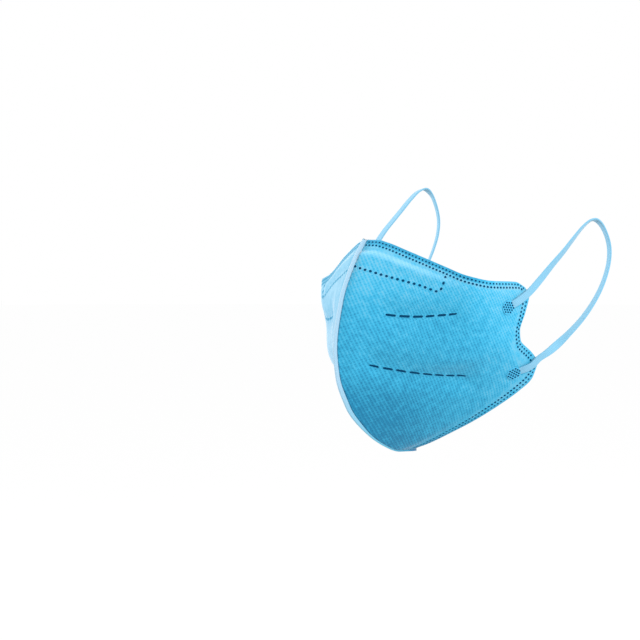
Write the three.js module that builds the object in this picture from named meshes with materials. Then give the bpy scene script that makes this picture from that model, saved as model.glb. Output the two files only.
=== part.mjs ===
// Child-size folding respirator half mask, opened as it is worn.
// Two bent fabric panels meet at a welded front seam, and two flat elastic ear loops are welded
// onto them by round spots. Millimetres, +Z up, the mask faces -Y and the wearer's left is +X.
// Inside the mask group, points are measured from the nose end of the front seam.
import * as THREE from "three";

// Front seam, seen from the side
const SEAM_HEIGHT = 109.8; // nose end down to the chin end
const SEAM_BULGE = 20.7; // how far it stands ahead of its nose end
const CHIN_SETBACK = 33; // chin end behind the nose end

// Face opening
const REAR_HALF_WIDTH = 63; // middle plane to the widest rear edge
const REAR_SETBACK = 55; // ear edge behind the nose end
const CHEEK_DROP = 24.3; // upper rear corner below the nose end
const EAR_EDGE_HEIGHT = 37.9; // upper rear corner down to the lower one

// Fabric
const WALL = 1.4; // five layers of nonwoven
const BORDER_PRESS = 0.35; // how much thinner the welded border is
const BORDER_WIDTH = 4.2; // width of the welded border
const BORDER_RAMP = 2.5; // fabric rising from the border to its full thickness

// Nose clip, a flat wire welded in between the layers
const CLIP_HALF_LENGTH = 45; // from the seam along the panel
const CLIP_WIDTH = 5;
const CLIP_RISE = 0.5;
const CLIP_DROP = 8.5; // its middle line below the top edge

// Soft valleys along the two dashed weld lines
const VALLEY_DEPTH = 2;
const VALLEY_HALF_WIDTH = 6.5;
const VALLEY_FADE = 9; // length over which a valley runs out at its ends

// Seam flange, both panels' edges pressed together
const FLANGE_THICKNESS = 1.2;
const FLANGE_PROUD = 2.7; // most that it could stand ahead of the panels' outer faces
const FLANGE_ROOT = 1.5; // behind the panels' outer faces, between their ends
const CHIN_TAB = 2.4; // square end past the chin end of the panels

// Ear loops and their weld spots
const LOOP_WIDTH = 4.1;
const LOOP_THICKNESS = 0.9;
const SPOT_DIAMETER = 7.6;
const SPOT_THICKNESS = 0.7;

const CLEARANCE = 0.3; // between neighbouring pieces

// The mask's origin is the middle of the face opening, measured from the nose end of the seam
const FACE_SEAT_BACK = 35;
const FACE_SEAT_DROP = 55;

// How finely the panels, the flange and the loops are faceted
const PANEL_STATIONS = 30;
const PANEL_LEVELS = 25;
const FLANGE_STEPS = 40;
const LOOP_STEPS = 54;
const SPOT_SIDES = 20;

// Colours of the nonwoven, the welded seam and the elastic
const COLOURS = {
  fabric: { color: 0x4fb5e2, roughness: 0.92, metalness: 0 },
  seam: { color: 0xbfe0f4, roughness: 0.75, metalness: 0 },
  elastic: { color: 0xa4d8f0, roughness: 0.85, metalness: 0 },
  spot: { color: 0x3f9fce, roughness: 0.6, metalness: 0 },
};

// The front seam from nose to chin. level is the share of the way down the panel, bulge a share
// of SEAM_BULGE, setback of CHIN_SETBACK and drop of SEAM_HEIGHT.
const SEAM_PROFILE = [
  { level: 0.0, bulge: 0.0, setback: 0.0, drop: 0.0 },
  { level: 0.112, bulge: 0.435, setback: 0.0, drop: 0.124 },
  { level: 0.244, bulge: 0.8, setback: 0.0, drop: 0.284 },
  { level: 0.413, bulge: 1.0, setback: 0.0, drop: 0.503 },
  { level: 0.51, bulge: 0.92, setback: 0.0, drop: 0.631 },
  { level: 0.628, bulge: 0.58, setback: 0.0, drop: 0.773 },
  { level: 0.747, bulge: 0.22, setback: 0.12, drop: 0.89 },
  { level: 0.86, bulge: 0.04, setback: 0.42, drop: 0.97 },
  { level: 0.938, bulge: 0.0, setback: 0.73, drop: 1.0 },
  { level: 1.0, bulge: 0.0, setback: 1.0, drop: 1.0 },
];

// The ear edge from its upper to its lower corner. half is a share of REAR_HALF_WIDTH, setback
// of REAR_SETBACK and drop of EAR_EDGE_HEIGHT.
const EAR_EDGE = [
  { level: 0.0, half: 0.992, setback: 0.955, drop: 0.0 },
  { level: 0.12, half: 1.0, setback: 1.0, drop: 0.11 },
  { level: 0.3, half: 0.992, setback: 0.96, drop: 0.335 },
  { level: 0.5, half: 0.984, setback: 0.9, drop: 0.56 },
  { level: 0.66, half: 0.976, setback: 0.916, drop: 0.7 },
  { level: 0.86, half: 0.968, setback: 1.064, drop: 0.865 },
  { level: 1.0, half: 0.968, setback: 1.167, drop: 1.0 },
];

// How far the flange stands ahead of the panels, as a share of FLANGE_PROUD.
const FLANGE_EDGE = [
  { level: 0.0, proud: 0.72 },
  { level: 0.2, proud: 0.6 },
  { level: 0.35, proud: 0.56 },
  { level: 0.5, proud: 0.62 },
  { level: 0.6, proud: 0.74 },
  { level: 0.7, proud: 0.6 },
  { level: 0.78, proud: 0.3 },
  { level: 0.87, proud: 0.25 },
  { level: 1.0, proud: 0.4 },
];

// Sections from the seam to the ear edge, seen from above. left and right are how many degrees
// a section leaves the seam outside its chord on each side, trail how many it ends inside it, and
// the straight columns are the shares of its two straight runs before and after the bend.
const SECTIONS = [
  { level: 0.0, left: 23.5, right: 23.5, trail: 46, straightFront: 0.82, straightRear: 0.55 },
  { level: 0.2, left: 21, right: 21, trail: 37.5, straightFront: 0.68, straightRear: 0.45 },
  { level: 0.4, left: 14, right: 14.5, trail: 32, straightFront: 0.45, straightRear: 0.35 },
  { level: 0.55, left: 10, right: 13, trail: 29, straightFront: 0.3, straightRear: 0.25 },
  { level: 0.7, left: 5.5, right: 9, trail: 25.5, straightFront: 0.2, straightRear: 0.2 },
  { level: 0.85, left: 7, right: 8, trail: 17, straightFront: 0.12, straightRear: 0.12 },
  { level: 1.0, left: 7, right: 7, trail: 15, straightFront: 0.1, straightRear: 0.1 },
];

// Top edge from the seam to the ear edge: how far it has dropped on each side, as a share of
// CHEEK_DROP. The clip is bent down further on the right.
const TOP_EDGE = [
  { along: 0.0, left: 0.0, right: 0.0 },
  { along: 0.06, left: 0.0, right: 0.03 },
  { along: 0.125, left: 0.055, right: 0.115 },
  { along: 0.25, left: 0.225, right: 0.32 },
  { along: 0.5, left: 0.58, right: 0.79 },
  { along: 0.625, left: 0.755, right: 0.875 },
  { along: 0.75, left: 0.85, right: 0.88 },
  { along: 0.93, left: 0.88, right: 0.885 },
  { along: 1.0, left: 1.0, right: 1.0 },
];

// Bottom edge from the chin to the ear edge: rise is the share of the climb between them.
const BOTTOM_EDGE = [
  { along: 0.0, rise: 0.0 },
  { along: 0.125, rise: 0.066 },
  { along: 0.3, rise: 0.186 },
  { along: 0.5, rise: 0.336 },
  { along: 0.7, rise: 0.515 },
  { along: 0.87, rise: 0.695 },
  { along: 0.95, rise: 0.81 },
  { along: 1.0, rise: 1.0 },
];

// The two dashed weld lines: where they start and end along the panel, and their levels there
// and in the middle.
const DASH_LINES = [
  { from: 0.23, to: 0.59, levelFrom: 0.288, levelMiddle: 0.282, levelTo: 0.25 },
  { from: 0.16, to: 0.663, levelFrom: 0.491, levelMiddle: 0.569, levelTo: 0.675 },
];

// Middles of the weld spots on a panel
const SPOTS = [
  { name: "upper", along: 0.87, level: 0.221 },
  { name: "lower", along: 0.889, level: 0.844 },
];

// Middle lines of the ear loops, chosen by hand: [out from the middle plane, back, up], from the
// upper weld spot round to the lower one. Both hang free, so each has its own course.
const LEFT_LOOP_ROUTE = [
  [62.8, 44.7, -32.2],
  [63.3, 49.3, -29.8],
  [63.9, 54.4, -26.4],
  [64.3, 61.6, -20.4],
  [64.7, 69.7, -13.2],
  [65.1, 78.0, -6.2],
  [65.4, 85.1, 0.4],
  [65.6, 91.5, 6.0],
  [65.8, 96.8, 9.4],
  [65.8, 101.2, 10.3],
  [65.8, 105.4, 8.2],
  [65.8, 109.5, 3.2],
  [65.6, 112.4, -3.2],
  [65.4, 112.7, -10.4],
  [65.2, 110.1, -19.0],
  [64.9, 104.7, -28.4],
  [64.5, 94.6, -39.6],
  [64.0, 81.0, -50.0],
  [63.2, 70.1, -57.0],
  [62.1, 63.0, -60.9],
  [60.7, 59.3, -64.4],
  [59.1, 55.9, -66.1],
];
const RIGHT_LOOP_ROUTE = [
  [62.8, 44.7, -32.2],
  [63.4, 49.2, -28.6],
  [63.9, 53.6, -23.2],
  [64.2, 57.8, -16.8],
  [64.4, 62.2, -9.0],
  [64.6, 67.2, -1.2],
  [64.8, 73.0, 5.2],
  [65.0, 79.7, 11.2],
  [65.3, 86.6, 17.2],
  [65.5, 93.2, 23.0],
  [65.6, 99.4, 27.4],
  [65.6, 105.0, 28.8],
  [65.6, 109.8, 25.4],
  [65.6, 113.5, 18.8],
  [65.5, 115.4, 11.0],
  [65.3, 114.3, 3.0],
  [65.1, 111.0, -5.0],
  [64.9, 106.2, -13.4],
  [64.6, 100.0, -22.6],
  [64.3, 92.2, -32.6],
  [64.0, 82.6, -42.8],
  [63.4, 73.0, -52.0],
  [62.2, 65.0, -59.0],
  [60.7, 59.3, -64.3],
  [59.1, 55.9, -66.1],
];

// How a band turns along its loop: left and right are each loop's twist in degrees from lying
// flat on the panel, seated the share of the panel's own slope that it keeps.
const LOOP_TWIST = [
  { share: 0.0, left: 0, right: 0, seated: 1 },
  { share: 0.09, left: 0, right: 0, seated: 1 },
  { share: 0.2, left: 22, right: 88, seated: 0 },
  { share: 0.3, left: 36, right: 93, seated: 0 },
  { share: 0.36, left: 50, right: 96, seated: 0 },
  { share: 0.41, left: 90, right: 100, seated: 0 },
  { share: 0.46, left: 109, right: 68, seated: 0 },
  { share: 0.54, left: 113, right: 62, seated: 0 },
  { share: 0.66, left: 102, right: 62, seated: 0 },
  { share: 0.8, left: 78, right: 55, seated: 0 },
  { share: 0.93, left: 0, right: 0, seated: 1 },
  { share: 1.0, left: 0, right: 0, seated: 1 },
];

// Smooth reading of one column of a table between its rows, without overshoot.
function read(table, at, key, column) {
  const last = table.length - 1;
  let row = 0;
  while (row < last - 1 && at > table[row + 1][key]) row += 1;
  const secant = (i) => {
    const step = table[i + 1][key] - table[i][key];
    return (table[i + 1][column] - table[i][column]) / step;
  };
  const slope = (i) => {
    if (i === 0) return secant(0);
    if (i === last) return secant(last - 1);
    const before = secant(i - 1);
    const after = secant(i);
    return before * after <= 0 ? 0 : (2 * before * after) / (before + after);
  };
  const width = table[row + 1][key] - table[row][key];
  const t = THREE.MathUtils.clamp((at - table[row][key]) / width, 0, 1);
  const t2 = t * t;
  const t3 = t2 * t;
  return (
    table[row][column] * (2 * t3 - 3 * t2 + 1) +
    table[row + 1][column] * (3 * t2 - 2 * t3) +
    slope(row) * width * (t3 - 2 * t2 + t) +
    slope(row + 1) * width * (t3 - t2)
  );
}

const radians = THREE.MathUtils.degToRad;
const { smoothstep, lerp, clamp } = THREE.MathUtils;

// A panel starts beside the flange and ends at the ear edge.
const PANEL_START = FLANGE_THICKNESS / 2 + CLEARANCE;
const LOWER_CORNER_DROP = CHEEK_DROP + EAR_EDGE_HEIGHT;

function seamPoint(level) {
  return {
    back:
      CHIN_SETBACK * read(SEAM_PROFILE, level, "level", "setback") -
      SEAM_BULGE * read(SEAM_PROFILE, level, "level", "bulge"),
    drop: SEAM_HEIGHT * read(SEAM_PROFILE, level, "level", "drop"),
  };
}

function earPoint(level) {
  return {
    half: REAR_HALF_WIDTH * read(EAR_EDGE, level, "level", "half"),
    back: REAR_SETBACK * read(EAR_EDGE, level, "level", "setback"),
    share: read(EAR_EDGE, level, "level", "drop"),
  };
}

function topDrop(side, along) {
  return CHEEK_DROP * read(TOP_EDGE, along, "along", side);
}

function bottomDrop(along) {
  const climb = SEAM_HEIGHT - LOWER_CORNER_DROP;
  return SEAM_HEIGHT - climb * read(BOTTOM_EDGE, along, "along", "rise");
}

// One section of a panel seen from above: straight from the seam, one soft bend at the cheek and
// straight again to the ear edge. It is parametrized by its length. A section of the right panel
// is drawn on the left, like all of that panel's points until they are mirrored.
const sections = { left: new Map(), right: new Map() };
function section(side, level) {
  if (sections[side].has(level)) return sections[side].get(level);
  const seam = seamPoint(level);
  const ear = earPoint(level);
  const chord = Math.atan2(ear.half, ear.back - seam.back);
  const seamAngle = chord + radians(read(SECTIONS, level, "level", side));
  const earAngle = chord - radians(read(SECTIONS, level, "level", "trail"));
  const start = new THREE.Vector2(PANEL_START, seam.back + PANEL_START / Math.tan(seamAngle));
  const end = new THREE.Vector2(ear.half, ear.back);
  const leave = new THREE.Vector2(Math.sin(seamAngle), Math.cos(seamAngle));
  const arrive = new THREE.Vector2(Math.sin(earAngle), Math.cos(earAngle));
  const span = end.clone().sub(start);
  const frontRun = span.cross(arrive) / leave.cross(arrive);
  const rearRun = leave.cross(span) / leave.cross(arrive);
  const corner = start.clone().addScaledVector(leave, frontRun);
  const straightFront = read(SECTIONS, level, "level", "straightFront");
  const straightRear = read(SECTIONS, level, "level", "straightRear");
  const bendStart = start.clone().addScaledVector(leave, frontRun * straightFront);
  const bendEnd = end.clone().addScaledVector(arrive, -rearRun * straightRear);
  const path = new THREE.CurvePath();
  path.add(new THREE.LineCurve(start, bendStart));
  path.add(new THREE.QuadraticBezierCurve(bendStart, corner, bendEnd));
  path.add(new THREE.LineCurve(bendEnd, end));
  sections[side].set(level, path);
  return path;
}

// Outer face of a panel before any relief, along from the seam to the ear edge and level from
// the top edge to the bottom edge, both from 0 to 1.
function panelPoint(side, along, level) {
  const plan = section(side, level).getPoint(along);
  const share = lerp(seamPoint(level).drop / SEAM_HEIGHT, earPoint(level).share, along);
  const drop = lerp(topDrop(side, along), bottomDrop(along), share);
  return new THREE.Vector3(plan.x, plan.y, -drop);
}

function panelNormal(side, along, level) {
  const step = 0.002;
  const across = panelPoint(side, Math.min(along + step, 1), level);
  across.sub(panelPoint(side, Math.max(along - step, 0), level));
  const down = panelPoint(side, along, Math.min(level + step, 1));
  down.sub(panelPoint(side, along, Math.max(level - step, 0)));
  return down.cross(across).normalize();
}

// How far the fabric is pressed flat, 1 on the welded border and 0 in the body.
function borderPress(side, along, level) {
  const height = bottomDrop(along) - topDrop(side, along);
  const toEar = (1 - along) * section(side, level).getLength();
  const inset = Math.min(level * height, (1 - level) * height, toEar);
  return 1 - smoothstep(inset, BORDER_WIDTH, BORDER_WIDTH + BORDER_RAMP);
}

// The flat wire under the fabric, a low ridge along the top of the nose.
function clipRise(side, along, level) {
  const height = bottomDrop(along) - topDrop(side, along);
  const off = Math.abs(level * height - CLIP_DROP);
  const past = along * section(side, level).getLength() - CLIP_HALF_LENGTH;
  const across = 1 - smoothstep(off, CLIP_WIDTH / 2 - 1, CLIP_WIDTH / 2 + 1.5);
  return CLIP_RISE * across * (1 - smoothstep(past, -2, 2));
}

// The soft valley along a dashed weld line.
function valleyDepth(line, side, along, level) {
  const t = clamp((along - line.from) / (line.to - line.from), 0, 1);
  const early = lerp(line.levelFrom, line.levelMiddle, Math.min(2 * t, 1));
  const middle = t < 0.5 ? early : lerp(line.levelMiddle, line.levelTo, 2 * t - 1);
  const height = bottomDrop(along) - topDrop(side, along);
  const off = ((level - middle) * height) / VALLEY_HALF_WIDTH;
  const length = section(side, level).getLength();
  const before = (line.from - along) * length;
  const after = (along - line.to) * length;
  const fade = 1 - smoothstep(Math.max(before, after), -VALLEY_FADE / 2, VALLEY_FADE);
  return VALLEY_DEPTH * fade * Math.exp(-off * off);
}

// Both faces of a panel at one place.
function panelFaces(side, along, level) {
  const base = panelPoint(side, along, level);
  const normal = panelNormal(side, along, level);
  const press = borderPress(side, along, level) * BORDER_PRESS;
  const depths = DASH_LINES.map((line) => valleyDepth(line, side, along, level));
  const valley = depths.reduce((sum, depth) => sum + depth, 0);
  const rise = clipRise(side, along, level) - valley - press;
  const outer = base.clone().addScaledVector(normal, rise);
  const inner = base.clone().addScaledVector(normal, -valley - WALL);
  if (along === 0) {
    // The panel's end is cut parallel to the flange, so its inner corner slides along the panel.
    const across = panelPoint(side, 0.01, level).sub(base);
    inner.addScaledVector(across, (PANEL_START - inner.x) / across.x);
    inner.x = PANEL_START;
    outer.copy(base);
  }
  return { outer, inner };
}

// One closed body from rings of equally many points, each ring closed on itself, with flat or
// folded caps at both ends. The rings run the way that makes the faces point out.
function loft(rings) {
  const size = rings[0].length;
  const position = rings.flatMap((ring) => ring.flatMap((p) => [p.x, p.y, p.z]));
  const index = [];
  for (let i = 0; i + 1 < rings.length; i += 1) {
    for (let j = 0; j < size; j += 1) {
      const a = i * size + j;
      const b = i * size + ((j + 1) % size);
      index.push(a, b, b + size, a, b + size, a + size);
    }
  }
  const last = (rings.length - 1) * size;
  for (let j = 0, k = size - 1; j + 1 < k; j += 1, k -= 1) {
    index.push(j, k, k - 1);
    index.push(last + j, last + k - 1, last + k);
    if (j + 1 < k - 1) {
      index.push(j, k - 1, j + 1);
      index.push(last + j, last + j + 1, last + k - 1);
    }
  }
  const geometry = new THREE.BufferGeometry();
  geometry.setAttribute("position", new THREE.Float32BufferAttribute(position, 3));
  geometry.setIndex(index);
  return geometry;
}

// The same rings on the other side of the middle plane.
function mirror(rings) {
  return rings.map((ring) => ring.map((p) => new THREE.Vector3(-p.x, p.y, p.z)).reverse());
}

// A panel's rings go round its wall, down the outer face and up the inner one.
function panelRings(side) {
  const rings = [];
  for (let i = 0; i <= PANEL_STATIONS; i += 1) {
    const along = i / PANEL_STATIONS;
    const outer = [];
    const inner = [];
    for (let j = 0; j <= PANEL_LEVELS; j += 1) {
      const faces = panelFaces(side, along, j / PANEL_LEVELS);
      outer.push(faces.outer);
      inner.unshift(faces.inner);
    }
    rings.push([...outer, ...inner]);
  }
  return rings;
}

// The flange follows the seam in the middle plane and ends in a square tab under the chin.
function flangeRings() {
  const half = FLANGE_THICKNESS / 2;
  const at = (level) => {
    const seam = seamPoint(level);
    return new THREE.Vector3(0, seam.back, -seam.drop);
  };
  const rings = [];
  for (let i = 0; i <= FLANGE_STEPS + 1; i += 1) {
    const level = Math.min(i / FLANGE_STEPS, 1);
    const ahead = at(Math.min(level + 0.01, 1)).sub(at(Math.max(level - 0.01, 0))).normalize();
    const out = new THREE.Vector3(0, ahead.z, -ahead.y);
    // The nose end is cut level, flush with the panels' top edge.
    if (i === 0) out.set(0, 1 / ahead.z, 0);
    const middle = at(level).addScaledVector(ahead, i > FLANGE_STEPS ? CHIN_TAB : 0);
    const proud = FLANGE_PROUD * read(FLANGE_EDGE, level, "level", "proud");
    const edge = middle.clone().addScaledVector(out, proud);
    const root = middle.clone().addScaledVector(out, -FLANGE_ROOT);
    rings.push([
      new THREE.Vector3(half, root.y, root.z),
      new THREE.Vector3(half, edge.y, edge.z),
      new THREE.Vector3(-half, edge.y, edge.z),
      new THREE.Vector3(-half, root.y, root.z),
    ]);
  }
  return rings;
}

// A loop is a flat band with eased edges, swept along its route.
function loopRings(side, points) {
  const path = new THREE.CatmullRomCurve3(points.map((p) => new THREE.Vector3(...p)));
  const [upper, lower] = SPOTS.map((spot) => panelNormal(side, spot.along, spot.level));
  const outward = new THREE.Vector3(1, 0, 0);
  const ease = LOOP_THICKNESS * 0.3;
  const halfWidth = LOOP_WIDTH / 2;
  const halfThickness = LOOP_THICKNESS / 2;
  const outline = [
    [halfWidth, halfThickness - ease],
    [halfWidth - ease, halfThickness],
    [ease - halfWidth, halfThickness],
    [-halfWidth, halfThickness - ease],
    [-halfWidth, ease - halfThickness],
    [ease - halfWidth, -halfThickness],
    [halfWidth - ease, -halfThickness],
    [halfWidth, ease - halfThickness],
  ];
  const rings = [];
  for (let i = 0; i <= LOOP_STEPS; i += 1) {
    const share = i / LOOP_STEPS;
    const middle = path.getPointAt(share);
    const ahead = path.getTangentAt(share);
    const seated = read(LOOP_TWIST, share, "share", "seated");
    const turn = radians(read(LOOP_TWIST, share, "share", side));
    const facing = outward.clone().lerp(share < 0.5 ? upper : lower, seated);
    facing.addScaledVector(ahead, -facing.dot(ahead)).normalize();
    facing.applyAxisAngle(ahead, turn);
    const across = facing.clone().cross(ahead);
    rings.push(
      outline.map(([w, t]) => middle.clone().addScaledVector(across, w).addScaledVector(facing, t)),
    );
  }
  return rings;
}

const mask = new THREE.Group();
mask.position.set(0, -FACE_SEAT_BACK, FACE_SEAT_DROP);

function addPiece(name, geometry, look) {
  const piece = new THREE.Mesh(geometry, new THREE.MeshStandardMaterial(COLOURS[look]));
  piece.name = name;
  mask.add(piece);
  return piece;
}

addPiece("left_panel", loft(panelRings("left")), "fabric");
addPiece("right_panel", loft(mirror(panelRings("right"))), "fabric");
addPiece("centre_seam", loft(flangeRings()), "seam");
addPiece("left_ear_loop", loft(loopRings("left", LEFT_LOOP_ROUTE)), "elastic");
addPiece("right_ear_loop", loft(mirror(loopRings("right", RIGHT_LOOP_ROUTE))), "elastic");

for (const side of ["left", "right"]) {
  for (const spot of SPOTS) {
    const sign = side === "left" ? 1 : -1;
    const disc = new THREE.CylinderGeometry(
      SPOT_DIAMETER / 2,
      SPOT_DIAMETER / 2,
      SPOT_THICKNESS,
      SPOT_SIDES,
    );
    const normal = panelNormal(side, spot.along, spot.level);
    const middle = panelPoint(side, spot.along, spot.level);
    middle.addScaledVector(normal, CLEARANCE + SPOT_THICKNESS / 2);
    const piece = addPiece(`${side}_${spot.name}_weld_spot`, disc, "spot");
    piece.position.set(sign * middle.x, middle.y, middle.z);
    normal.x *= sign;
    piece.quaternion.setFromUnitVectors(new THREE.Vector3(0, 1, 0), normal);
  }
}

const part = new THREE.Group();
part.add(mask);

export default part;
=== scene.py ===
"""Looks for the child-size folding respirator mask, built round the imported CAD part.

The surface is the CAD part's own, worked out again on a finer grid. Lengths are in millimetres and
measured from the nose end of the front seam until a mesh is made, as in the CAD source. The right
half is worked out on the left and mirrored when its meshes are made.
"""

import math

import bpy
import numpy as np
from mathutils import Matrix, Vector


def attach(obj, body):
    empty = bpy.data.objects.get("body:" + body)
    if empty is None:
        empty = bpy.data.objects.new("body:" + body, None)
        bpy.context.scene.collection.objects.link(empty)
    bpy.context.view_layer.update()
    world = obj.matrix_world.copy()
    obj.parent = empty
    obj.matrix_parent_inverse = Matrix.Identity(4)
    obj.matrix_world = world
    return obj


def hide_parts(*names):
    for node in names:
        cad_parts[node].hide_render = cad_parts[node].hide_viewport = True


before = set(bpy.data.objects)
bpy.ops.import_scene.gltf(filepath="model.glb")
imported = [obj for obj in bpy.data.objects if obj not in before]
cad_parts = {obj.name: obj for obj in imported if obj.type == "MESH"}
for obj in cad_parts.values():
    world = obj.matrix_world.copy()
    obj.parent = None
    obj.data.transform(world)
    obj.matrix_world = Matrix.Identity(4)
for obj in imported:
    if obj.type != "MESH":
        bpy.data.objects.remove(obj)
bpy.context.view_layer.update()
scene = bpy.context.scene

MM = 0.001
NOSE_TO_FRAME = np.array([0.0, -35.0, 55.0])  # the seam's nose end in the part's own frame
SIDES = ("left", "right")

# The camera, at the photograph's angle
AZIMUTH = math.radians(49)
ELEVATION = math.radians(2)
DISTANCE = 1100
SIDE_SHIFT = -23.59
UP_SHIFT = -41.28
LENS = 120.66

# The CAD part's sizes
SEAM_HEIGHT = 109.8
SEAM_BULGE = 20.7
CHIN_SETBACK = 33
REAR_HALF_WIDTH = 63
REAR_SETBACK = 55
CHEEK_DROP = 24.3
EAR_EDGE_HEIGHT = 37.9
WALL = 1.4
BORDER_PRESS = 0.35
BORDER_WIDTH = 4.2
BORDER_RAMP = 2.5
CLIP_HALF_LENGTH = 45
CLIP_WIDTH = 5
CLIP_RISE = 0.5
CLIP_DROP = 8.5
VALLEY_DEPTH = 2
VALLEY_HALF_WIDTH = 6.5
VALLEY_FADE = 9
FLANGE_THICKNESS = 1.2
FLANGE_PROUD = 2.7
FLANGE_ROOT = 1.5
CHIN_TAB = 2.4
LOOP_WIDTH = 4.1
LOOP_THICKNESS = 0.9
SPOT_DIAMETER = 7.6
CLEARANCE = 0.3
PANEL_START = FLANGE_THICKNESS / 2 + CLEARANCE

# Down the seam: level, share of the bulge, of the chin's setback and of the height
SEAM_PROFILE = np.array([
    (0, 0, 0, 0),
    (0.112, 0.435, 0, 0.124),
    (0.244, 0.8, 0, 0.284),
    (0.413, 1, 0, 0.503),
    (0.51, 0.92, 0, 0.631),
    (0.628, 0.58, 0, 0.773),
    (0.747, 0.22, 0.12, 0.89),
    (0.86, 0.04, 0.42, 0.97),
    (0.938, 0, 0.73, 1),
    (1, 0, 1, 1),
])
# Down the ear edge: level, share of the half width, of the rear's setback and of the height
EAR_EDGE = np.array([
    (0, 0.992, 0.955, 0),
    (0.12, 1, 1, 0.11),
    (0.3, 0.992, 0.96, 0.335),
    (0.5, 0.984, 0.9, 0.56),
    (0.66, 0.976, 0.916, 0.7),
    (0.86, 0.968, 1.064, 0.865),
    (1, 0.968, 1.167, 1),
])
# Down the flange: level, share of FLANGE_PROUD
FLANGE_EDGE = np.array([
    (0, 0.72), (0.2, 0.6), (0.35, 0.56), (0.5, 0.62), (0.6, 0.74),
    (0.7, 0.6), (0.78, 0.3), (0.87, 0.25), (1, 0.4),
])
# Level, lead on the left and right and trail in degrees, straight shares round the bend
SECTIONS = np.array([
    (0, 23.5, 23.5, 46, 0.82, 0.55),
    (0.2, 21, 21, 37.5, 0.68, 0.45),
    (0.4, 14, 14.5, 32, 0.45, 0.35),
    (0.55, 10, 13, 29, 0.3, 0.25),
    (0.7, 5.5, 9, 25.5, 0.2, 0.2),
    (0.85, 7, 8, 17, 0.12, 0.12),
    (1, 7, 7, 15, 0.1, 0.1),
])
# Along the top edge: share of the way, share of CHEEK_DROP on the left and on the right
TOP_EDGE = np.array([
    (0, 0, 0), (0.06, 0, 0.03), (0.125, 0.055, 0.115), (0.25, 0.225, 0.32),
    (0.5, 0.58, 0.79), (0.625, 0.755, 0.875), (0.75, 0.85, 0.88), (0.93, 0.88, 0.885),
    (1, 1, 1),
])
# Along the bottom edge: share of the way, share of the climb from chin to lower ear corner
BOTTOM_EDGE = np.array([
    (0, 0), (0.125, 0.066), (0.3, 0.186), (0.5, 0.336), (0.7, 0.515),
    (0.87, 0.695), (0.95, 0.81), (1, 1),
])
# The two dashed weld lines: from, to, level at the start, in the middle and at the end
DASH_LINES = [
    (0.23, 0.59, 0.288, 0.282, 0.25),
    (0.16, 0.663, 0.491, 0.569, 0.675),
]
# Where each dash starts and ends along the panel
DASHES = [
    [(0.23, 0.279), (0.301, 0.35), (0.371, 0.419), (0.437, 0.477), (0.497, 0.535),
     (0.552, 0.589)],
    [(0.161, 0.206), (0.234, 0.281), (0.304, 0.35), (0.372, 0.421), (0.441, 0.486),
     (0.504, 0.546), (0.564, 0.604), (0.623, 0.663)],
]
# The weld spots: along, level
SPOTS = {"upper": (0.87, 0.221), "lower": (0.889, 0.844)}
# The bands' middle lines from spot to spot, both given on the left side
LEFT_LOOP_ROUTE = [
    (62.8, 44.7, -32.2), (63.3, 49.3, -29.8), (63.9, 54.4, -26.4), (64.3, 61.6, -20.4),
    (64.7, 69.7, -13.2), (65.1, 78, -6.2), (65.4, 85.1, 0.4), (65.6, 91.5, 6),
    (65.8, 96.8, 9.4), (65.8, 101.2, 10.3), (65.8, 105.4, 8.2), (65.8, 109.5, 3.2),
    (65.6, 112.4, -3.2), (65.4, 112.7, -10.4), (65.2, 110.1, -19), (64.9, 104.7, -28.4),
    (64.5, 94.6, -39.6), (64, 81, -50), (63.2, 70.1, -57), (62.1, 63, -60.9),
    (60.7, 59.3, -64.4), (59.1, 55.9, -66.1),
]
RIGHT_LOOP_ROUTE = [
    (62.8, 44.7, -32.2), (63.4, 49.2, -28.6), (63.9, 53.6, -23.2), (64.2, 57.8, -16.8),
    (64.4, 62.2, -9), (64.6, 67.2, -1.2), (64.8, 73, 5.2), (65, 79.7, 11.2),
    (65.3, 86.6, 17.2), (65.5, 93.2, 23), (65.6, 99.4, 27.4), (65.6, 105, 28.8),
    (65.6, 109.8, 25.4), (65.6, 113.5, 18.8), (65.5, 115.4, 11), (65.3, 114.3, 3),
    (65.1, 111, -5), (64.9, 106.2, -13.4), (64.6, 100, -22.6), (64.3, 92.2, -32.6),
    (64, 82.6, -42.8), (63.4, 73, -52), (62.2, 65, -59), (60.7, 59.3, -64.3),
    (59.1, 55.9, -66.1),
]
# Share of the band's length, its turn on the left and on the right in degrees, how seated it is
LOOP_TWIST = np.array([
    (0, 0, 0, 1), (0.09, 0, 0, 1), (0.2, 22, 88, 0), (0.3, 36, 93, 0), (0.36, 50, 96, 0),
    (0.41, 90, 100, 0), (0.46, 109, 68, 0), (0.54, 113, 62, 0), (0.66, 102, 62, 0),
    (0.8, 78, 55, 0), (0.93, 0, 0, 1), (1, 0, 0, 1),
])

# What only the visual model has: the panels' grid and finer relief
COLUMNS = 200
ROWS = 208
BEND_STEPS = 240
LOOK_AHEAD = 0.01  # how far on each side of a point a direction is read, as a share
BORDER_SINK = 0.5 * BORDER_PRESS  # the cloth springs back between the pressed welds
RIDGE_RISE = 1.5 * CLIP_RISE  # the clip shows more sharply than in the CAD part
RIDGE_EASE = 0.7
RIDGE_CREST = 1
RIDGE_FOOT = 1.5
RIDGE_END = 2
GROOVE_DEPTH = 0.2  # the cloth is drawn in round each dash
GROOVE_HALF_WIDTH = 2.0
GROOVE_FADE = 0.8
TUCK = 0.45  # x where the cloth's front end goes into the flange
FLAT_AXIS = (0.656, 0.755)  # the picture's width as seen from above
FLAT_LINE = 30  # where the cloth's measure across starts, along that axis
LOOSE_FROM = -12  # the cloth is a little looser in front of this, over the nose
LOOSE_SHARE = 0.78

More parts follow.
